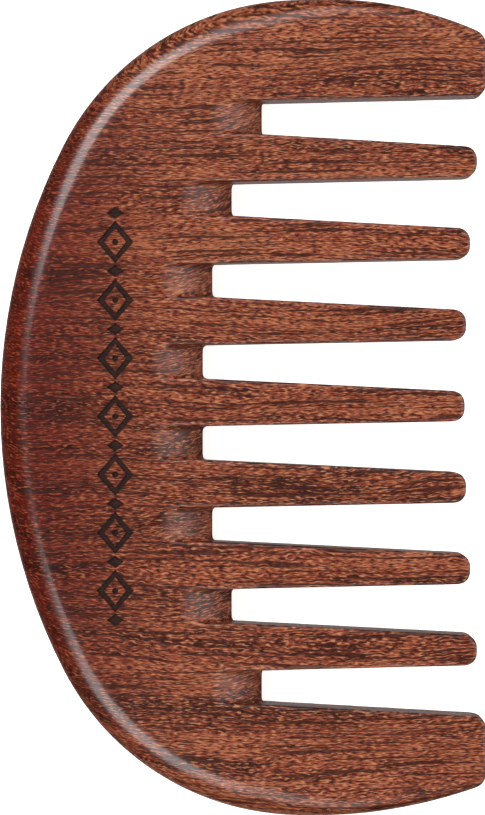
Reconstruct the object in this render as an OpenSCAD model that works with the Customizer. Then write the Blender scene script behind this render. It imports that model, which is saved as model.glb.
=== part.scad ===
// Wide-tooth beard comb in one board of solid hardwood, with a half-round rim,
// seven teeth between two broad end teeth, and a burnt frieze on its upper face.
//
// The comb lies flat. +X runs from the back of the comb to the tips of its teeth,
// +Y runs along the comb to its left end, and +Z runs up through its thickness.
// The origin is the middle of the underside's box. All sizes are in millimetres.
//
// The comb is one board, and its nodes are regions of that board: the back, and each
// tooth from its root to its tip. They meet face to face.

/* [Board] */
// Length of the comb, from end to end
comb_length = 120; // [105:1:150]
// Width of the comb, from its back to the tips of its end teeth
comb_width = 71.4; // [59.5:0.1:86]
// Thickness of the board
comb_thickness = 9; // [7:0.1:11]

/* [Back] */
// Radius of the long curve along the back
back_r = 84.7; // [80:0.1:102]
// Radius of the shoulders at both ends of the back
shoulder_r = 39.3; // [32:0.1:41]

/* [End teeth] */
// Width of the left end tooth at its root
left_end_w = 15.1; // [12:0.1:18.5]
// Width of the right end tooth at its root
right_end_w = 16.6; // [12:0.1:20]
// Straight run between the shoulder and the curved side of the left end tooth
left_run = 3.8; // [0:0.1:6]
// Straight run between the shoulder and the curved side of the right end tooth
right_run = 1; // [0:0.1:6]
// Radius of the curved side of the left end tooth
left_side_r = 54.8; // [45:0.1:90]
// Radius of the curved side of the right end tooth
right_side_r = 75; // [45:0.1:90]

/* [Teeth and gaps] */
// Width of a gap at its root
gap_root_w = 4.9; // [4.1:0.1:6]
// Width of an inner tooth at its tip
tooth_tip_w = 4.4; // [3.4:0.1:5.6]
// Angle by which the teeth lean to the right end of the comb, in degrees
tooth_lean = 0.85; // [0:0.05:1.5]
// Distance from the back to the root of a gap in the middle of the comb
root_depth = 29.7; // [26:0.1:36]
// Radius of the arc that the roots of the gaps lie on
root_arc_r = 102.6; // [90:0.1:200]
// Radius of the arc that the tips of the teeth lie on
tip_arc_r = 360; // [250:1:900]
// Radius of the rounded edges of the teeth
tooth_edge_r = 1.1; // [0.5:0.1:2]
// Radius of the corners at the tips of the teeth, seen from above
tip_corner_r = 1.7; // [0.8:0.1:2]

/* [Slopes into the gaps] */
// Length of the slope that leads into each gap, on both faces
slope_run = 8.7; // [5:0.1:10.4]
// Height of the blunt edge that the two slopes leave at the root
slope_edge = 1.2; // [0.8:0.1:3]

/* [Frieze] */
// Distance from the back to the middle line of the frieze
frieze_inset = 17.1; // [14:0.1:18]
// Distance of the frieze's middle from the comb's middle, to the left end
frieze_shift = -1.3; // [-3:0.1:3]
// Length of one repeat of the frieze
frieze_pitch = 8.5; // [7:0.1:9]
// Height of the frieze, across the back
frieze_h = 5.4; // [4:0.1:6]
// Width of the burnt lines
line_w = 0.75; // [0.5:0.05:0.9]
// Depth of the burnt lines
line_depth = 0.35; // [0.2:0.05:0.6]

/* [Hidden] */
$fn = 48;
// Steps in a full turn of the rim, and in its half-round section
rim_steps = 104;
section_steps = 32;

wood = "#7a4630";

// How far a cutting shape runs past what it cuts
over = 2;

half_l = comb_length / 2;
half_w = comb_width / 2;
rim_r = comb_thickness / 2;
edge_r = min(tooth_edge_r, 0.42 * tooth_tip_w, 0.4 * comb_thickness);
corner_r = min(tip_corner_r, 0.45 * tooth_tip_w);
// Width of the slabs that the teeth are cut from, and how far back they reach
slab_w = 40;
slab_back = 15;

// The back is a three-centred arch: a long curve that meets two shoulders tangentially.
back_centre = [back_r - half_w, 0];
shoulder_y = half_l - shoulder_r;
shoulder_x = back_centre.x - sqrt(pow(back_r - shoulder_r, 2) - pow(shoulder_y, 2));
arch_angle = asin(shoulder_y / (back_r - shoulder_r));

// Gap 1 lies beside the left end tooth and the last gap beside the right one.
gap_count = 8;
pitch = (comb_length - left_end_w - right_end_w - gap_root_w) / (gap_count - 1);
row_middle = (right_end_w - left_end_w) / 2;

function gap_y(gap) = half_l - left_end_w - gap_root_w / 2 - (gap - 1) * pitch;
function sagitta(radius, y) = radius - sqrt(radius * radius - y * y);
function root_x(gap) =
    root_depth - half_w + sagitta(root_arc_r, gap_y(gap) - row_middle);

// Tooth 0 stands for the left end tooth, and tooth gap_count for the right one.
function tooth_y(tooth) = gap_y(tooth) - pitch / 2;
function tip_x(tooth) = half_w - sagitta(tip_arc_r, pitch * gap_count / 2)
    + sagitta(tip_arc_r, tooth_y(tooth) - row_middle);
function tip_y(tooth) =
    tooth_y(tooth) - tan(tooth_lean) * (tip_x(tooth) - root_depth + half_w);

// side is 1 on the side of a gap or a tooth that faces the left end, and -1 on the other.
function root_corner(gap, side) = [root_x(gap), gap_y(gap) + side * gap_root_w / 2];
function tip_corner(tooth, side) =
    [tip_x(tooth), tip_y(tooth) + side * tooth_tip_w / 2];

function mirrored(point) = [point.x, -point.y];

// Sector of a disc with a half-round rim
module rimmed_sector(centre, radius, from, to) {
    translate([centre.x, centre.y, 0])
        rotate_extrude(angle = to - from, start = from, $fn = rim_steps) {
            square([radius - rim_r, comb_thickness]);
            translate([radius - rim_r, rim_r]) circle(r = rim_r, $fn = section_steps);
        }
}

// Shoulder and curved side at the left end of the comb
module left_end(run, side_r) {
    side_x = shoulder_x + run;
    side_end = acos(min(1, (half_w + over - side_x) / side_r));
    rimmed_sector([shoulder_x, shoulder_y], shoulder_r, 90, 180 - arch_angle);
    rimmed_sector([side_x, half_l - side_r], side_r, side_end, 90);
}

// The whole board before its gaps are cut. Its outline is convex.
module board() {
    hull() {
        rimmed_sector(back_centre, back_r, 180 - arch_angle, 180 + arch_angle);
        left_end(left_run, left_side_r);
        mirror([0, 1, 0]) left_end(right_run, right_side_r);
    }
}

// Section of a slab from its straight end at 0 to its edge with rounded corners
module slab_section() {
    square([slab_w - edge_r, comb_thickness]);
    translate([0, edge_r]) square([slab_w, comb_thickness - 2 * edge_r]);
    for (z = [edge_r, comb_thickness - edge_r])
        translate([slab_w - edge_r, z]) circle(r = edge_r);
}

// Slab to the right of the line from one point to another, rounded along that line
module slab_right_of(from, to) {
    along = to - from;
    translate([from.x, from.y, 0])
        rotate([0, 0, atan2(along.y, along.x)])
            translate([-slab_back, -slab_w, 0])
                rotate([90, 0, 90]) linear_extrude(comb_width) slab_section();
}

// Slab behind the line where the tips end, rounded along that line
module slab_behind(x) {
    translate([x - slab_w, comb_length, 0])
        rotate([90, 0, 0]) linear_extrude(2 * comb_length) slab_section();
}

// What rounds the corner at a tip, with room for the side's slope
module corner_cut(corner, side) {
    room = 0.1;
    reach = corner_r - room;
    translate([corner.x - reach, corner.y - side * reach, -over])
        linear_extrude(comb_thickness + 2 * over) difference() {
            mirror([0, side > 0 ? 0 : 1]) square(corner_r + over);
            circle(r = corner_r);
        }
}

module inner_tooth(tooth) {
    left_root = root_corner(tooth, -1);
    right_root = root_corner(tooth + 1, 1);
    left_tip = tip_corner(tooth, 1);
    right_tip = tip_corner(tooth, -1);
    along = (left_root - right_root) / norm(left_root - right_root);
    color(wood) difference() {
        intersection() {
            slab_right_of(left_root, left_tip);
            mirror([0, 1, 0]) slab_right_of(mirrored(right_root), mirrored(right_tip));
            slab_behind(left_tip.x);
            linear_extrude(comb_thickness) polygon([
                left_root + over * along,
                [half_w, left_root.y + over],
                [half_w, right_root.y - over],
                right_root - over * along
            ]);
        }
        corner_cut(left_tip, 1);
        corner_cut(right_tip, -1);
    }
}

module left_end_tooth() {
    root = root_corner(1, 1);
    tip = [half_w, tip_corner(0, -1).y];
    color(wood) difference() {
        intersection() {
            board();
            mirror([0, 1, 0]) slab_right_of(mirrored(root), mirrored(tip));
            slab_behind(half_w);
            translate([root.x, 0, 0]) cube([comb_width, comb_length, comb_thickness]);
        }
        corner_cut(tip, -1);
    }
}

module right_end_tooth() {
    root = root_corner(gap_count, -1);
    tip = [half_w, tip_corner(gap_count, 1).y];
    color(wood) difference() {
        intersection() {
            board();
            slab_right_of(root, tip);
            slab_behind(half_w);
            translate([root.x, -comb_length, 0])
                cube([comb_width, comb_length, comb_thickness]);
        }
        corner_cut(tip, 1);
    }
}

// Outline of everything behind the roots of the gaps
module back_outline() {
    polygon(concat(
        [[-half_w - over, -half_l - over], [-half_w - over, half_l + over]],
        [[root_x(1), half_l + over]],
        [for (gap = [1 : gap_count], side = [1, -1]) root_corner(gap, side)],
        [[root_x(gap_count), -half_l - over]]
    ));
}

// What the slope into a gap takes from the upper face
module slope_cut(gap) {
    drop = (comb_thickness - slope_edge) / 2;
    slope_r = (slope_run * slope_run + drop * drop) / (2 * drop);
    translate([root_x(gap) - slope_run, gap_y(gap) - gap_root_w / 2, 0])
        difference() {
            translate([0, 0, comb_thickness - drop])
                cube([slope_run + over, gap_root_w, drop + over]);
            translate([0, -over, comb_thickness - slope_r])
                rotate([-90, 0, 0]) cylinder(h = gap_root_w + 2 * over, r = slope_r);
        }
}

module lozenge(height, width) {
    polygon([[-height / 2, 0], [0, width / 2], [height / 2, 0], [0, -width / 2]]);
}

// Frieze of open lozenges with a dot inside, and small solid lozenges between them
module frieze() {
    repeats = 7;
    open_w = frieze_pitch - 3 * line_w;
    core_inset = 3 * line_w;
    dot_r = 0.6 * line_w;
    small_h = 3.4 * line_w;
    small_w = 2.4 * line_w;
    for (i = [0 : repeats - 1]) translate([0, (i - (repeats - 1) / 2) * frieze_pitch]) {
        difference() {
            lozenge(frieze_h, open_w);
            lozenge(frieze_h - core_inset, open_w - core_inset);
        }
        circle(r = dot_r);
    }
    for (i = [0 : repeats]) translate([0, (i - repeats / 2) * frieze_pitch])
        lozenge(small_h, small_w);
}

module back() {
    color(wood) difference() {
        intersection() {
            board();
            linear_extrude(comb_thickness) back_outline();
        }
        for (gap = [1 : gap_count]) {
            slope_cut(gap);
            translate([0, 0, comb_thickness]) mirror([0, 0, 1]) slope_cut(gap);
        }
        translate([frieze_inset - half_w, frieze_shift, comb_thickness - line_depth])
            linear_extrude(line_depth + over) frieze();
    }
}

module tooth_1() { inner_tooth(1); }
module tooth_2() { inner_tooth(2); }
module tooth_3() { inner_tooth(3); }
module tooth_4() { inner_tooth(4); }
module tooth_5() { inner_tooth(5); }
module tooth_6() { inner_tooth(6); }
module tooth_7() { inner_tooth(7); }

back();
left_end_tooth();
right_end_tooth();
tooth_1();
tooth_2();
tooth_3();
tooth_4();
tooth_5();
tooth_6();
tooth_7();
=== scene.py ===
from math import asin, cos, hypot, pi, radians, sin, sqrt, tan

import bmesh
import bpy
from bpy.props import FloatProperty, FloatVectorProperty, IntProperty, PointerProperty
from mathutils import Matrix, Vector


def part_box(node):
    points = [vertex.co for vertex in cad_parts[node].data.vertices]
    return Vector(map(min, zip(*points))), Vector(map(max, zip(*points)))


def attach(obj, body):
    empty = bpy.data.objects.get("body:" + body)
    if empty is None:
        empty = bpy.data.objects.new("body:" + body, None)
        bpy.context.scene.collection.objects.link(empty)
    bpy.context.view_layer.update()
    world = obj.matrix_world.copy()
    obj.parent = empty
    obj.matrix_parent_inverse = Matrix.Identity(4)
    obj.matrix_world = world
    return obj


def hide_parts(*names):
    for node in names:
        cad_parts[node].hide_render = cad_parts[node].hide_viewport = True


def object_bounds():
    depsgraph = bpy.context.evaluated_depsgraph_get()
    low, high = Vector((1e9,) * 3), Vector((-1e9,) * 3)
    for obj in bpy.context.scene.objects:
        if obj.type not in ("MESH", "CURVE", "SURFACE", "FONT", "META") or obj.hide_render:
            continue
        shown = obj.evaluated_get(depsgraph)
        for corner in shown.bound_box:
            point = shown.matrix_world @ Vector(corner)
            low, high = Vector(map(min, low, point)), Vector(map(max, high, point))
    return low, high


bl_info = {
    "name": "Beard comb",
    "version": (1, 0, 0),
    "blender": (4, 5, 0),
    "location": "3D View > Sidebar > Comb",
    "description": "Cuts, sands and finishes a wide-tooth beard comb in solid rosewood",
    "category": "Object",
}

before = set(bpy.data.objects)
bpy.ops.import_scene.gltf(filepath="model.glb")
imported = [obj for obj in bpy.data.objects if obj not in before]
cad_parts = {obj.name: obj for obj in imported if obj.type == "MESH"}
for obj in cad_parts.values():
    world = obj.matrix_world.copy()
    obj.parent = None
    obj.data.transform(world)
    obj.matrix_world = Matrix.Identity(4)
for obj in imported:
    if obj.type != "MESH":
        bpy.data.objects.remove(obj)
CAD_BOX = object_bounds()

MM = 0.001
GAP_COUNT = 8
TOOTH_NODES = [f"tooth_{i}" for i in range(1, GAP_COUNT)]
LOW = Vector(CAD_BOX[0])
HIGH = Vector(CAD_BOX[1])
LENGTH = HIGH.y - LOW.y
THICKNESS = HIGH.z - LOW.z
HALF = THICKNESS / 2

# Two places closer than this are the same place.
NEAR = 0.01 * MM

# How far the cutting tools reach past the board.
PAST_BOARD = 3 * MM

# Faces that meet at less than this are shaded as one round surface.
ROUND_BELOW = radians(45)


def linear(hex_colour):
    """An sRGB hex colour as the linear colour that shaders take."""
    srgb = [int(hex_colour[i : i + 2], 16) / 255 for i in (1, 3, 5)]
    return tuple(
        c / 12.92 if c <= 0.04045 else ((c + 0.055) / 1.055) ** 2.4 for c in srgb
    )


# ---------------------------------------------------------------- sizes and colours


def size(name, description, default_mm):
    """A length that a user can change, with its default in millimetres."""
    return FloatProperty(
        name=name,
        description=description,
        default=default_mm * MM,
        unit="LENGTH",
        precision=5,
    )


def colour(name, description, hex_colour):
    """A colour that a user can change, with its default as an sRGB hex value."""
    return FloatVectorProperty(
        name=name,
        description=description,
        default=linear(hex_colour),
        subtype="COLOR",
        min=0,
        max=1,
    )


class CombSizes(bpy.types.PropertyGroup):
    back_radius: size("Back radius", "Radius of the long curve of the back", 84.7)
    shoulder_radius: size("Shoulder radius", "Radius of both shoulders", 39.3)
    left_run: size("Left run", "Straight run behind the left end's curved side", 3.8)
    right_run: size("Right run", "Straight run behind the right end's curved side", 1.0)
    left_side_radius: size("Left side radius", "Radius of the left end's side", 54.8)
    right_side_radius: size("Right side radius", "Radius of the right end's side", 75.0)
    tip_width: size("Tip width", "Width of an inner tooth at its tip", 4.4)
    tip_corner: size("Tip corner", "Radius of a tip's corners, seen from above", 1.7)
    edge_radius: size("Edge radius", "Radius of the sanded edges of the teeth", 1.1)
    slope_run: size("Slope run", "Length of the slope into each gap", 8.7)
    slope_edge: size("Slope edge", "Height of the blunt edge between two slopes", 1.2)
    sanding_grid: size("Sanding grid", "Spacing of the mesh that is sanded", 0.32)
    sanding_passes: IntProperty(
        name="Sanding passes",
        description="How often the edges are eased",
        default=8,
        min=0,
    )
    tooth_lean: FloatProperty(
        name="Tooth lean",
        description="Angle by which the teeth lean to the right end",
        default=radians(0.85),
        subtype="ANGLE",
    )


class FriezeSizes(bpy.types.PropertyGroup):
    inset: size("Inset", "From the back to the middle line of the frieze", 17.1)
    shift: size("Shift", "From the middle of the comb to the frieze's middle", -1.3)
    pitch: size("Pitch", "Length of one repeat", 8.5)
    height: size("Height", "Height of the open lozenges", 5.4)
    line: size("Line", "Width of the burnt lines", 0.75)
    depth: size("Depth", "Depth of the burnt lines", 0.35)
    repeats: IntProperty(
        name="Repeats", description="Number of open lozenges", default=7, min=1
    )


class CombColours(bpy.types.PropertyGroup):
    wood: colour("Wood", "Middle tone of the oiled rosewood", "#823B25")
    fibre: colour("Fibre", "Light fibres", "#985638")
    vein: colour("Vein", "Dark growth lines", "#32120B")
    # The pore colour is a painted glint: the light caught by the walls of open pores.
    pore_glint: colour("Pore", "Open pores that catch the light", "#B27651")
    # The heart colour is painted shade: it darkens and reddens the wood along the back.
    painted_back_shade: colour("Heart", "What the redder heartwood lets through", "#B06455")
    # The heart pore colour is the painted glint on pores inside the painted shade along the
    # back.
    painted_shade_pore_glint: colour("Heart pore", "Open pores in the redder heartwood", "#884427")
    char: colour("Char", "Burnt wood", "#160805")
    floor: colour("Floor", "Studio floor", "#F7F6F4")


# ------------------------------------------------------------------ modelling helpers


def deselect():
    bpy.ops.object.select_all(action="DESELECT")


def activate(piece):
    deselect()
    piece.select_set(True)
    bpy.context.view_layer.objects.active = piece


def edit():
    bpy.ops.object.mode_set(mode="EDIT")


def leave_edit():
    bpy.ops.object.mode_set(mode="OBJECT")


def pick(kind, wanted):
    """In edit mode, selects only the vertices, edges or faces that wanted accepts."""
    bpy.ops.mesh.select_mode(type=kind)
    bpy.ops.mesh.select_all(action="DESELECT")
    mesh = bmesh.from_edit_mesh(bpy.context.object.data)
    elements = {"VERT": mesh.verts, "EDGE": mesh.edges, "FACE": mesh.faces}[kind]
    for element in elements:
        if wanted(element):
            element.select_set(True)
    mesh.select_flush_mode()
    bmesh.update_edit_mesh(bpy.context.object.data)


def middle(element):
    return sum((v.co for v in element.verts), Vector()) / len(element.verts)


def face_outwards():
    bpy.ops.mesh.select_mode(type="FACE")
    bpy.ops.mesh.select_all(action="SELECT")
    bpy.ops.mesh.normals_make_consistent(inside=False)


def traced(name, points, rise):
    """A prism: an outline traced corner by corner, filled, and extruded by rise."""
    deselect()
    bpy.ops.mesh.primitive_plane_add(size=MM, location=points[0])
    piece = bpy.context.object
    piece.name = name
    bpy.ops.object.transform_apply(location=True, rotation=True, scale=True)
    edit()
    bpy.ops.mesh.select_mode(type="VERT")
    bpy.ops.mesh.select_all(action="SELECT")
    bpy.ops.mesh.merge(type="CENTER")
    for here, there in zip(points, points[1:], strict=False):
        bpy.ops.mesh.extrude_vertices_move(
            TRANSFORM_OT_translate={"value": Vector(there) - Vector(here)}
        )
    bpy.ops.mesh.select_all(action="SELECT")
    bpy.ops.mesh.edge_face_add()
    bpy.ops.mesh.extrude_region_move(TRANSFORM_OT_translate={"value": rise})
    face_outwards()
    leave_edit()
    return piece


def joined(pieces, name):
    activate(pieces[0])
    for piece in pieces:
        piece.select_set(True)
    bpy.ops.object.join()
    bpy.context.object.name = name
    return bpy.context.object


def copied(piece, name):
    activate(piece)
    bpy.ops.object.duplicate()
    bpy.context.object.name = name
    return bpy.context.object


def removed(piece):
    bpy.data.objects.remove(piece, do_unlink=True)


def cut(piece, tool, operation="DIFFERENCE", solver="EXACT"):
    """Cuts piece with tool, or keeps what they share, and throws the tool away."""
    activate(piece)
    bpy.ops.object.modifier_add(type="BOOLEAN")
    change = piece.modifiers[-1]
    change.operation = operation
    change.solver = solver
    change.object = tool
    bpy.ops.object.modifier_apply(modifier=change.name)
    if not piece.data.polygons:
        raise RuntimeError(f"Nothing of {piece.name} is left after {tool.name}")
    removed(tool)


def smoothstep(low, high, value):
    t = min(max((value - low) / (high - low), 0), 1)
    return t * t * (3 - 2 * t)


def finished(piece, *nodes):
    """Puts a piece on the comb's one body, in place of its CAD nodes."""
    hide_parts(*nodes)
    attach(piece, "root")


# --------------------------------------------------------------------- the comb's plan


def sizes():
    return bpy.context.scene.comb_sizes


def gap_roots():
    """Where each gap starts: its x, its left y and its right y, from the CAD nodes."""
    names = ["left_end_tooth", *TOOTH_NODES, "right_end_tooth"]
    roots = []
    for gap in range(GAP_COUNT):
        left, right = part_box(names[gap]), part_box(names[gap + 1])
        nearer_middle = left if gap < GAP_COUNT // 2 else right
        roots.append((nearer_middle[0].x, left[0].y, right[1].y))
    return roots


def tip_corners():
    """The left and right corner of each inner tooth's tip, from the left end."""
    corners = []
    roots = gap_roots()
    for name, above, below in zip(TOOTH_NODES, roots, roots[1:], strict=False):
        tip_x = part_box(name)[1].x
        lean = tan(sizes().tooth_lean) * (tip_x - min(above[0], below[0]))
        tip_y = (above[2] + below[1]) / 2 - lean
        half = sizes().tip_width / 2
        corners.append(((tip_x, tip_y + half), (tip_x, tip_y - half)))
    return corners


def end_tip_y(side):
    """Where an end tooth's inner side meets its tip: side is 1 at the left end."""
    roots, corners = gap_roots(), tip_corners()
    spacing = (roots[0][1] - roots[-1][1]) / (GAP_COUNT - 1)
    nearest = corners[0][1] if side > 0 else corners[-1][0]
    return nearest[1] + side * spacing


def shoulder_centre():
    """The left shoulder's centre, and the angle from it at which the back's curve ends."""
    rim_to_rim = sizes().back_radius - sizes().shoulder_radius
    y = LENGTH / 2 - sizes().shoulder_radius
    x = LOW.x + sizes().back_radius - sqrt(rim_to_rim**2 - y**2)
    return Vector((x, y, 0)), asin(y / rim_to_rim)


def side_centre(side):
    """The centre of the curved side of an end tooth: side is 1 at the left end."""
    run = sizes().left_run if side > 0 else sizes().right_run
    radius = sizes().left_side_radius if side > 0 else sizes().right_side_radius
    return Vector((shoulder_centre()[0].x + run, side * (LENGTH / 2 - radius), 0)), radius


# ------------------------------------------------------------- shaping the whole board

# The rim's profile is turned round the back in steps of about this angle.
STEP_ANGLE = radians(2.2)

# The powers of the end teeth's section: 2 is a half round, and a higher one is squarer.
HALF_ROUND = 2
SQUARER = 4.6


def turn_rim(centre, angle):
    """Spins the selected rim profile round an upright line through centre."""
    bpy.ops.mesh.spin(
        steps=max(2, round(abs(angle) / STEP_ANGLE)),
        angle=angle,
        center=centre,
        axis=(0, 0, 1),
    )


def sweep_rim(side):
    """Carries the selected rim profile round the back to beyond one end's tip."""
    centre, arch = shoulder_centre()
    turn_rim((LOW.x + sizes().back_radius, 0, 0), side * arch)
    turn_rim((centre.x, side * centre.y, 0), side * (pi / 2 - arch))
    run = sizes().left_run if side > 0 else sizes().right_run
    bpy.ops.mesh.extrude_region_move(TRANSFORM_OT_translate={"value": (run, 0, 0)})
    middle_of_arc, radius = side_centre(side)
    reach = asin((HIGH.x + PAST_BOARD - middle_of_arc.x) / radius)
    turn_rim(middle_of_arc, side * reach)


def rim_arc(x, side):
    """The centre and radius of the outline's arc at x: side is 1 at the left end."""
    shoulder, _ = shoulder_centre()
    centre, radius = side_centre(side)
    if x < shoulder.x:
        return Vector((shoulder.x, side * shoulder.y, 0)), sizes().shoulder_radius
    return Vector((min(x, centre.x), centre.y, 0)), radius


def squarer_ends():
    """Moves the rim of the end teeth from a half round out to a squarer section."""
    shoulder_x = shoulder_centre()[0].x
    starts = shoulder_x - 6 * MM
    full = shoulder_x + 12 * MM
    mesh = bmesh.from_edit_mesh(bpy.context.object.data)
    for vertex in mesh.verts:
        centre, radius = rim_arc(vertex.co.x, 1 if vertex.co.y > 0 else -1)
        flat = Vector((vertex.co.x - centre.x, vertex.co.y - centre.y, 0))
        out = flat.length - (radius - HALF)
        rise = vertex.co.z - HALF
        if vertex.co.x < starts or out < 0:
            continue
        power = HALF_ROUND + (SQUARER - HALF_ROUND) * smoothstep(starts, full, vertex.co.x)
        length = hypot(out, rise)
        terms = (abs(out) / length) ** power + (abs(rise) / length) ** power
        reach = HALF * terms ** (-1 / power)
        place = centre + flat.normalized() * (radius - HALF + out * reach / length)
        vertex.co = Vector((place.x, place.y, HALF + rise * reach / length))
    bmesh.update_edit_mesh(bpy.context.object.data)


def shaped_board():
    """The comb's board with its rim rounded, before the gaps are sawn."""
    deselect()
    bpy.ops.mesh.primitive_circle_add(
        vertices=40,
        radius=HALF,
        fill_type="NOTHING",
        location=(LOW.x + HALF, 0, HALF),
        rotation=(pi / 2, 0, 0),
    )
    bpy.ops.object.transform_apply(location=True, rotation=True, scale=True)
    board = bpy.context.object
    edit()
    pick("VERT", lambda v: v.co.x > LOW.x + HALF + NEAR)
    bpy.ops.mesh.delete(type="VERT")
    bpy.ops.mesh.select_all(action="SELECT")
    sweep_rim(1)
    pick("VERT", lambda v: abs(v.co.y) < NEAR and v.co.x < LOW.x + HALF + 10 * NEAR)
    sweep_rim(-1)
    bpy.ops.mesh.select_all(action="SELECT")
    bpy.ops.mesh.remove_doubles(threshold=NEAR / 10)
    squarer_ends()
    end = HIGH.x + PAST_BOARD * 0.6
    pick("EDGE", lambda e: e.is_boundary and all(v.co.x > end for v in e.verts))
    bpy.ops.mesh.bridge_edge_loops()
    bpy.ops.mesh.select_all(action="SELECT")
    bpy.ops.mesh.fill_holes(sides=0)
    face_outwards()
    leave_edit()
    return board


def sawn_away():
    """One cutter for all that the saw takes in front of the roots of the gaps."""
    roots = gap_roots()
    corners = tip_corners()
    front = HIGH.x + 2 * PAST_BOARD

    # Behind the outer corner of an end tooth the cutter lies along the tooth's side, so
    # that this corner is rounded with the others.
    lead = 5 * MM
    outer = []
    for side in (1, -1):
        centre, radius = side_centre(side)
        drop = sqrt(radius**2 - (HIGH.x - centre.x) ** 2)
        slope = (HIGH.x - centre.x) / drop
        corner = (HIGH.x, centre.y + side * (drop + NEAR))
        behind = (HIGH.x - lead, corner[1] + side * slope * lead)
        outer.append((corner, behind))
    tips = [(HIGH.x, end_tip_y(1))]
    for left, right in corners:
        tips += [left, right]
    tips.append((HIGH.x, end_tip_y(-1)))
    path = [(front, HIGH.y + PAST_BOARD), (outer[0][1][0], HIGH.y + PAST_BOARD)]
    path += [outer[0][1], outer[0][0]]
    for gap, (root_x, left_y, right_y) in enumerate(roots):
        path += [tips[2 * gap], (root_x, left_y), (root_x, right_y), tips[2 * gap + 1]]
    path += [outer[1][0], outer[1][1], (outer[1][1][0], LOW.y - PAST_BOARD)]
    path.append((front, LOW.y - PAST_BOARD))
    low = LOW.z - PAST_BOARD
    points = [(x, y, low) for x, y in path]
    rise = (0, 0, THICKNESS + 2 * PAST_BOARD)
    cutter = traced("Sawn_away", points, rise)
    rounded = [*tips, outer[0][0], outer[1][0]]
    activate(cutter)
    edit()
    pick(
        "EDGE",
        lambda e: abs(e.verts[0].co.z - e.verts[1].co.z) > THICKNESS
        and any(hypot(middle(e).x - x, middle(e).y - y) < NEAR for x, y in rounded),
    )
    bpy.ops.mesh.bevel(
        offset=sizes().tip_corner, segments=6, affect="EDGES", clamp_overlap=True
    )
    leave_edit()
    return cutter


def slope_cutters():
    """What the slopes into each gap take from both faces."""
    drop = (THICKNESS - sizes().slope_edge) / 2
    run = sizes().slope_run
    radius = (run**2 + drop**2) / (2 * drop)
    over = 0.6 * MM
    steps = 12
    cutters = []
    for gap, (root_x, left_y, right_y) in enumerate(gap_roots()):
        profile = [(root_x - run - 0.5 * MM, over), (root_x - run, 0)]
        for step in range(1, steps + 1):
            along = run * step / steps
            profile.append((root_x - run + along, sqrt(radius**2 - along**2) - radius))
        profile += [(root_x + 1 * MM, -drop), (root_x + 1 * MM, over)]
        for face, up in ((HIGH.z, 1), (LOW.z, -1)):
            points = [(x, right_y, face + up * z) for x, z in profile]
            rise = (0, left_y - right_y, 0)
            cutters.append(traced(f"Slope_{gap}", points, rise))
    return joined(cutters, "Slopes")


def sanded(board):
    """Eases every edge of the board, as sanding and tumbling leave it."""
    activate(board)
    bpy.ops.object.modifier_add(type="REMESH")
    grid = board.modifiers[-1]
    grid.mode = "VOXEL"
    grid.voxel_size = sizes().sanding_grid
    bpy.ops.object.modifier_apply(modifier=grid.name)
    bpy.ops.object.modifier_add(type="SMOOTH")
    easing = board.modifiers[-1]
    easing.factor = 0.5
    easing.iterations = sizes().sanding_passes
    bpy.ops.object.modifier_apply(modifier=easing.name)


def region(name, points):
    """A tall prism round one tooth, which parts it from the rest of the board."""
    low = LOW.z - PAST_BOARD
    rise = (0, 0, THICKNESS + 2 * PAST_BOARD)
    return traced(name, [(x, y, low) for x, y in points], rise)


def tooth_regions():
    """One region for each tooth from the left end to the right end.

    The seam between a tooth and the back lies just in front of the roots of the gaps.
    """
    roots = gap_roots()
    seam = 0.5 * MM
    far = HIGH.x + PAST_BOARD
    tips = [end_tip_y(1)]
    for left, right in tip_corners():
        tips += [left[1], right[1]]
    tips.append(end_tip_y(-1))
    regions = []
    for tooth in range(GAP_COUNT + 1):
        if tooth == 0:
            x, y = roots[0][0] + seam, HIGH.y + PAST_BOARD
            left = [(far, y), (x, y)]
        else:
            x, wall, y = roots[tooth - 1]
            free = (tips[2 * tooth - 2] + tips[2 * tooth - 1]) / 2
            left = [(far, free), (x + seam, (wall + y) / 2), (x + seam, y)]
        if tooth == GAP_COUNT:
            x, y = roots[-1][0] + seam, LOW.y - PAST_BOARD
            right = [(x, y), (far, y)]
        else:
            x, y, wall = roots[tooth]
            free = (tips[2 * tooth] + tips[2 * tooth + 1]) / 2
            right = [(x + seam, y), (x + seam, (wall + y) / 2), (far, free)]
        regions.append(left + right)
    return regions


# ------------------------------------------------------------------------- the frieze


def frieze_place():
    place = bpy.context.scene.comb_frieze
    return Vector((LOW.x + place.inset, place.shift, HIGH.z - place.depth))


def lozenge(name, centre, height, width, over=0.0):
    """An upright lozenge from the bottom of a burnt line, and over longer at both ends."""
    bottom = centre - Vector((0, 0, over))
    rise = (0, 0, 2 * bpy.context.scene.comb_frieze.depth + 2 * over)
    points = [(height, 0, 0), (0, width, 0), (-height, 0, 0), (0, -width, 0)]
    return traced(name, [bottom + Vector(p) / 2 for p in points], rise)


def row_of(tool, count):
    """Copies a tool into a row along the frieze, with its middle where the tool stood."""
    row = []
    for i in range(count):
        along = (i - (count - 1) / 2) * bpy.context.scene.comb_frieze.pitch
        row.append(copied(tool, f"{tool.name}_{i}"))
        bpy.ops.transform.translate(value=(0, along, 0))
        bpy.ops.object.transform_apply(location=True, rotation=True, scale=True)
    removed(tool)
    return row


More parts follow.
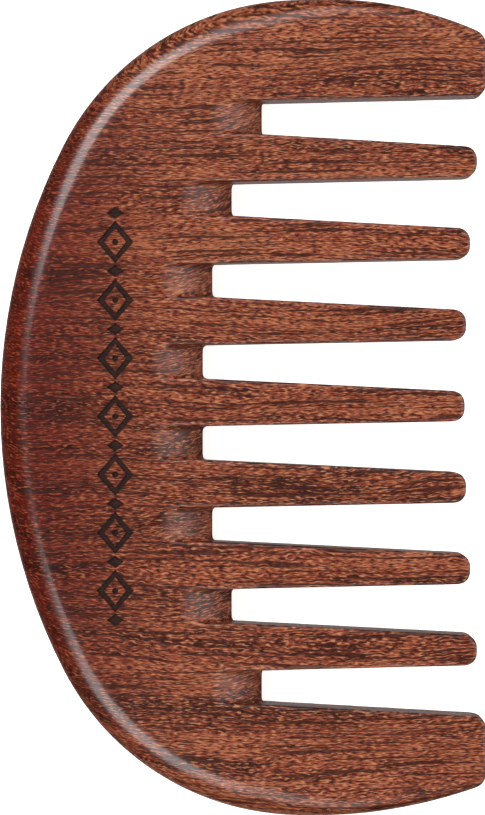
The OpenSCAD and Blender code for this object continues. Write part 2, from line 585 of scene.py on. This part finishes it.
def frieze_tools():
    """The burning tools: open lozenges with a dot inside, and solid ones between."""
    place = bpy.context.scene.comb_frieze
    centre = frieze_place()
    open_width = place.pitch - 3 * place.line
    core_size = (place.height - 3 * place.line, open_width - 3 * place.line)
    ring = lozenge("Open_lozenge", centre, place.height, open_width)
    cut(ring, lozenge("Core", centre, *core_size, over=1 * MM))
    deselect()
    bpy.ops.mesh.primitive_cylinder_add(
        vertices=20,
        radius=place.line * 0.6,
        depth=2 * place.depth,
        location=centre + Vector((0, 0, place.depth)),
    )
    bpy.ops.object.transform_apply(location=True, rotation=True, scale=True)
    dotted = joined([ring, bpy.context.object], "Open_lozenge")
    small = lozenge("Small_lozenge", centre, 3.4 * place.line, 2.4 * place.line)
    tools = row_of(dotted, place.repeats) + row_of(small, place.repeats + 1)
    return joined(tools, "Frieze")


# -------------------------------------------------------------------------- materials


def node(tree, kind, inputs=(), **settings):
    """Adds a node with its settings, and its inputs set or linked, by name or in order."""
    added = tree.nodes.new(kind)
    for name, value in settings.items():
        setattr(added, name, value)
    for name, value in inputs.items() if isinstance(inputs, dict) else enumerate(inputs):
        if isinstance(value, bpy.types.Node):
            value = value.outputs[0]
        if isinstance(value, bpy.types.NodeSocket):
            tree.links.new(value, added.inputs[name])
        else:
            added.inputs[name].default_value = value
    return added


def colours():
    return bpy.context.scene.comb_colours


def opaque(value):
    return (*value, 1)


def new_material(name):
    made = bpy.data.materials.new(name)
    made.use_nodes = True
    made.node_tree.nodes.clear()
    return made, made.node_tree


def streaks(tree, place, grain_mm, detail=2.0, rough=0.6, shift=0.0):
    """Streaks as long, wide and deep as grain_mm, where place is in millimetres."""
    stretched = {
        "Vector": place,
        "Location": (shift, shift * 1.7, shift * 0.6),
        "Scale": tuple(1 / length for length in grain_mm),
    }
    in_grains = node(tree, "ShaderNodeMapping", stretched)
    inputs = {"Vector": in_grains, "Scale": 1.0, "Detail": detail, "Roughness": rough}
    return node(tree, "ShaderNodeTexNoise", inputs)


def swayed(tree, start, *swings):
    """Adds patterns to a value, each of which swings evenly by as much as is given."""
    total = start
    for pattern, swing in swings:
        about_zero = [pattern, swing, -swing / 2]
        sway = node(tree, "ShaderNodeMath", about_zero, operation="MULTIPLY_ADD")
        total = node(tree, "ShaderNodeMath", [total, sway], operation="ADD")
    return total


def laid_over(tree, under, colour, value, span, amounts, blend="MIX"):
    """Lays a colour over another, by an amount that eases as the value crosses a span."""
    eased = [value, *span, *amounts]
    amount = node(tree, "ShaderNodeMapRange", eased, interpolation_type="SMOOTHSTEP")
    return node(tree, "ShaderNodeMixRGB", [amount, under, colour], blend_type=blend)


def along_the_grain(tree, in_mm, parts):
    """Coordinates that follow the fibres.

    The growth rings lie tilted in the board and wave along it by a few millimetres, and
    the fibres waver by a few tenths more.
    """
    tilt = [parts.outputs["Z"], 0.5, parts.outputs["Y"]]
    tilted = node(tree, "ShaderNodeMath", tilt, operation="MULTIPLY_ADD")
    wave = streaks(tree, in_mm, (46, 13, 18), detail=1.5, shift=3.1)
    waver = streaks(tree, in_mm, (2.6, 1.3, 1.3), detail=1.0, shift=9.4)
    across = swayed(tree, tilted, (wave, 6.0), (waver, 0.6))
    inputs = {"X": parts.outputs["X"], "Y": across, "Z": parts.outputs["Z"]}
    return node(tree, "ShaderNodeCombineXYZ", inputs)


def rosewood(name, charred):
    """Oiled and sanded rosewood: light and dark streaks, short pores and dark growth lines.

    Sanding and oil leave a satin sheen that differs a little from fibre to fibre. Burning
    blackens the same wood, leaves its fibres showing faintly and takes its sheen away.
    """
    made, tree = new_material(name)
    palette = colours()
    darkest = opaque(palette.vein)
    coordinates = node(tree, "ShaderNodeTexCoord")
    scaled = {"Vector": coordinates.outputs["Object"], "Scale": (1 / MM, 1 / MM, 1 / MM)}
    in_mm = node(tree, "ShaderNodeMapping", scaled)
    parts = node(tree, "ShaderNodeSeparateXYZ", [in_mm])
    grain = along_the_grain(tree, in_mm, parts)

    # Growth rings show as streaks 4 mm and 1 mm wide. A fibre is 0.02 mm wide, too fine
    # to show, so bundles 0.2 mm wide stand for them. Pores are 0.15 mm wide, as they are.
    figure = streaks(tree, grain, (80, 4.4, 14), detail=3.0, shift=1.3)
    bands = streaks(tree, grain, (14, 0.9, 4), detail=3.0, shift=7.7)
    fibres = streaks(tree, grain, (1.5, 0.21, 0.6), shift=12.4)
    pores_and_glints = streaks(tree, grain, (0.85, 0.155, 0.5), detail=0.5, rough=0.5, shift=33.0)
    lines = streaks(tree, grain, (16, 0.34, 1.6), detail=1.0, rough=0.5, shift=21.9)
    mottle = streaks(tree, in_mm, (7, 5, 5), shift=5.5)

    # Tone runs from the darkest wood at 0 through the middle one to the lightest at 1.
    half_way = 0.5
    tone = swayed(tree, half_way, (figure, 1.9), (bands, 1.0), (mottle, 0.6), (fibres, 2.2))
    body = laid_over(tree, darkest, opaque(palette.wood), tone, (0.0, half_way), (0.0, 1.0))
    body = laid_over(tree, body, opaque(palette.fibre), tone, (half_way, 1.0), (0.0, 1.0))

    # Painted shade: the wood along the back is painted redder and darker than the wood of
    # the teeth, and this fades out between 4.7 mm and 28.7 mm from the back's edge.
    edge = LOW.x / MM
    fading = (edge + 4.7, edge + 28.7)
    painted_back_shade = {"value": parts.outputs["X"], "span": fading, "amounts": (1.0, 0.0)}
    body = laid_over(tree, body, opaque(palette.painted_back_shade), **painted_back_shade, blend="MULTIPLY")

    # Open pores run along the grain as short dashes. Some are filled and dark, and on the
    # others a painted glint stands in for the light that their walls catch.
    body = laid_over(tree, body, darkest, pores_and_glints, (0.36, 0.45), (0.9, 0.0))
    # The painted glint is darker inside the painted shade along the back.
    painted_pore_glint = laid_over(tree, opaque(palette.pore_glint), opaque(palette.painted_shade_pore_glint), **painted_back_shade)
    body = laid_over(tree, body, painted_pore_glint, pores_and_glints, (0.57, 0.69), (0.0, 0.85))
    body = laid_over(tree, body, darkest, lines, (0.55, 0.62), (0.0, 0.85))
    if charred:
        body = node(tree, "ShaderNodeMixRGB", [0.92, body, opaque(palette.char)])

    # The slopes and tips are cut across the fibres, and take less polish.
    facing = node(tree, "ShaderNodeSeparateXYZ", [coordinates.outputs["Normal"]])
    eased = [facing.outputs["X"], 0.04, 0.3, 0.0, 0.3]
    end_grain = node(tree, "ShaderNodeMapRange", eased, interpolation_type="SMOOTHSTEP")
    along = [fibres, 0.16, 0.6 if charred else 0.16]
    oiled = node(tree, "ShaderNodeMath", along, operation="MULTIPLY_ADD")
    dullness = node(tree, "ShaderNodeMath", [oiled, end_grain], operation="ADD")
    raised = {"Strength": 0.09, "Distance": 0.08 * MM, "Height": fibres}
    finish = {
        "Base Color": body,
        "Roughness": dullness,
        "Normal": node(tree, "ShaderNodeBump", raised),
        "IOR": 1.5,
        "Specular IOR Level": 0.2 if charred else 0.5,
        "Coat Weight": 0.0 if charred else 0.25,
        "Coat Roughness": 0.3,
    }
    surface = node(tree, "ShaderNodeBsdfPrincipled", finish)
    node(tree, "ShaderNodeOutputMaterial", {"Surface": surface})
    return made


def lit_floor():
    """Opal acrylic lit from below, as on a product table: it shows hardly any shadow."""
    made, tree = new_material("Opal acrylic, matt and lit from below")
    finish = {
        "Base Color": opaque(colours().floor),
        "Roughness": 0.9,
        "Specular IOR Level": 0.0,
        "Emission Color": opaque(colours().floor),
        "Emission Strength": 0.8,
    }
    surface = node(tree, "ShaderNodeBsdfPrincipled", finish)
    node(tree, "ShaderNodeOutputMaterial", {"Surface": surface})
    return made


def studio():
    """A dim studio, whose far wall is as pale as the floor.

    The floor doesn't show in the comb's own sheen. A little light from straight below
    stands in for it.
    """
    made = bpy.data.worlds.new("Studio")
    made.use_nodes = True
    tree = made.node_tree
    tree.nodes.clear()
    sky = node(tree, "ShaderNodeTexCoord").outputs["Generated"]
    height = node(tree, "ShaderNodeSeparateXYZ", [sky]).outputs["Z"]
    eased = [height, -0.95, -0.6, 0.24, 0.02]
    dim = node(tree, "ShaderNodeMapRange", eased, interpolation_type="SMOOTHSTEP")
    seen = node(tree, "ShaderNodeLightPath").outputs["Is Camera Ray"]
    wall = node(tree, "ShaderNodeMath", [seen, 0.9], operation="MULTIPLY")
    strength = node(tree, "ShaderNodeMath", [dim, wall], operation="MAXIMUM")
    light = node(tree, "ShaderNodeBackground", [(1.0, 1.0, 1.0, 1.0), strength])
    node(tree, "ShaderNodeOutputWorld", {"Surface": light})
    return made


# -------------------------------------------------------------------------- operators


class COMB_OT_board(bpy.types.Operator):
    """Shapes the board, saws the gaps, cuts the slopes and sands it all"""

    bl_idname = "comb.board"
    bl_label = "Board"

    def execute(self, context):
        board = shaped_board()
        cut(board, sawn_away())
        cut(board, slope_cutters())
        sanded(board)
        board.name = "Board"
        board.data.materials.clear()
        board.data.materials.append(rosewood("Rosewood, oiled and sanded", False))
        return {"FINISHED"}


class COMB_OT_teeth(bpy.types.Operator):
    """Parts the teeth from the board, each as its own piece"""

    bl_idname = "comb.teeth"
    bl_label = "Teeth"

    def execute(self, context):
        board = bpy.data.objects["Board"]
        nodes = ["left_end_tooth", *TOOTH_NODES, "right_end_tooth"]
        for cad_node, outline in zip(nodes, tooth_regions(), strict=True):
            tooth = copied(board, f"Rosewood_{cad_node}")
            cut(tooth, region("Region", outline), "INTERSECT", "MANIFOLD")
            cut(board, region("Region", outline), "DIFFERENCE", "MANIFOLD")
            activate(tooth)
            bpy.ops.object.shade_smooth_by_angle(angle=ROUND_BELOW)
            finished(tooth, cad_node)
        return {"FINISHED"}


class COMB_OT_back(bpy.types.Operator):
    """Burns the frieze into what is left of the board, which is the back"""

    bl_idname = "comb.back"
    bl_label = "Back and frieze"

    def execute(self, context):
        back = bpy.data.objects["Board"]
        back.name = "Rosewood_back"
        cut(back, frieze_tools(), "DIFFERENCE", "MANIFOLD")
        back.data.materials.append(rosewood("Rosewood, burnt", True))
        activate(back)
        edit()
        centre = frieze_place()
        place = context.scene.comb_frieze
        long_half = (place.repeats + 1) * place.pitch / 2
        pick(
            "FACE",
            lambda f: abs(middle(f).x - centre.x) < place.height
            and abs(middle(f).y - centre.y) < long_half
            and HIGH.z - 2 * place.depth < middle(f).z < HIGH.z - NEAR
            and (f.normal.z < 0.3 or middle(f).z < HIGH.z - 0.8 * place.depth),
        )
        back.active_material_index = len(back.material_slots) - 1
        bpy.ops.object.material_slot_assign()
        leave_edit()
        bpy.ops.object.material_slot_remove_unused()
        bpy.ops.object.shade_smooth_by_angle(angle=ROUND_BELOW)
        finished(back, "back")
        return {"FINISHED"}


# A long lens from far above, which keeps the walls of the gaps almost out of sight.
CAMERA_LENS = 180
CAMERA_SENSOR = 36


def softbox(name, azimuth, elevation, distance, area, watts):
    """A light aimed at the comb, with its azimuth turned from +X, both in degrees."""
    aim = Vector((0, 0, HALF))
    around, up = radians(azimuth), radians(elevation)
    away = Vector((cos(around) * cos(up), sin(around) * cos(up), sin(up)))
    deselect()
    bpy.ops.object.light_add(type="AREA", location=aim + away * distance)
    lamp = bpy.context.object
    lamp.name = name
    lamp.data.shape = "RECTANGLE"
    lamp.data.size, lamp.data.size_y = area
    lamp.data.energy = watts
    lamp.visible_camera = False
    lamp.rotation_euler = away.to_track_quat("Z", "Y").to_euler()
    return lamp


class COMB_OT_stage(bpy.types.Operator):
    """Sets up the floor, the softboxes and the camera straight above the comb"""

    bl_idname = "comb.stage"
    bl_label = "Stage"

    def execute(self, context):
        # The floor lies a hair below the comb, so that no two faces share a place.
        deselect()
        bpy.ops.mesh.primitive_plane_add(size=6, location=(0, 0, LOW.z - 0.05 * MM))
        floor = context.object
        floor.name = "Floor"
        bpy.ops.object.transform_apply(location=True, rotation=True, scale=True)
        floor.data.materials.append(lit_floor())
        floor.visible_glossy = False

        softbox("Left_softbox", 134, 51, 1.0, area=(0.5, 0.62), watts=6.4)
        softbox("Right_softbox", 230, 50, 1.0, area=(0.5, 0.66), watts=4.6)
        softbox("Left_side_softbox", 96, 44, 1.0, area=(0.4, 0.6), watts=1.5)
        softbox("Right_side_softbox", 264, 44, 1.0, area=(0.4, 0.6), watts=1.3)
        softbox("Front_softbox", 0, 48, 1.2, area=(1.0, 0.7), watts=5.5)
        fill = softbox("Overhead_fill", 0, 85, 1.5, area=(1.5, 1.5), watts=5)
        fill.visible_glossy = False
        context.scene.world = studio()

        distance = LENGTH * CAMERA_LENS / CAMERA_SENSOR
        deselect()
        bpy.ops.object.camera_add(
            location=((LOW.x + HIGH.x) / 2, 0, HALF + distance),
            rotation=(0, 0, 0),
        )
        camera = context.object
        camera.name = "Camera"
        camera.data.lens = CAMERA_LENS
        camera.data.sensor_width = CAMERA_SENSOR
        camera.data.clip_start = 0.01
        context.scene.camera = camera
        context.scene.view_settings.view_transform = "Standard"
        return {"FINISHED"}


class COMB_PT_panel(bpy.types.Panel):
    """Lists the comb's sizes, its colours and the steps that make it"""

    bl_idname = "COMB_PT_panel"
    bl_label = "Beard comb"
    bl_space_type = "VIEW_3D"
    bl_region_type = "UI"
    bl_category = "Comb"

    def draw(self, context):
        for group_name in GROUPS:
            group = getattr(context.scene, group_name)
            box = self.layout.box()
            for name in group.__annotations__:
                box.prop(group, name)
        for operator in OPERATORS:
            self.layout.operator(operator.bl_idname)


GROUPS = {
    "comb_sizes": CombSizes,
    "comb_frieze": FriezeSizes,
    "comb_colours": CombColours,
}
OPERATORS = (COMB_OT_board, COMB_OT_teeth, COMB_OT_back, COMB_OT_stage)
CLASSES = (*GROUPS.values(), *OPERATORS, COMB_PT_panel)


def register():
    for made in CLASSES:
        bpy.utils.register_class(made)
    for name, group in GROUPS.items():
        setattr(bpy.types.Scene, name, PointerProperty(type=group))


def unregister():
    for name in GROUPS:
        delattr(bpy.types.Scene, name)
    for made in reversed(CLASSES):
        bpy.utils.unregister_class(made)


def main():
    register()
    bpy.ops.comb.board()
    bpy.ops.comb.teeth()
    bpy.ops.comb.back()
    bpy.ops.comb.stage()


if __name__ == "__main__":
    main()
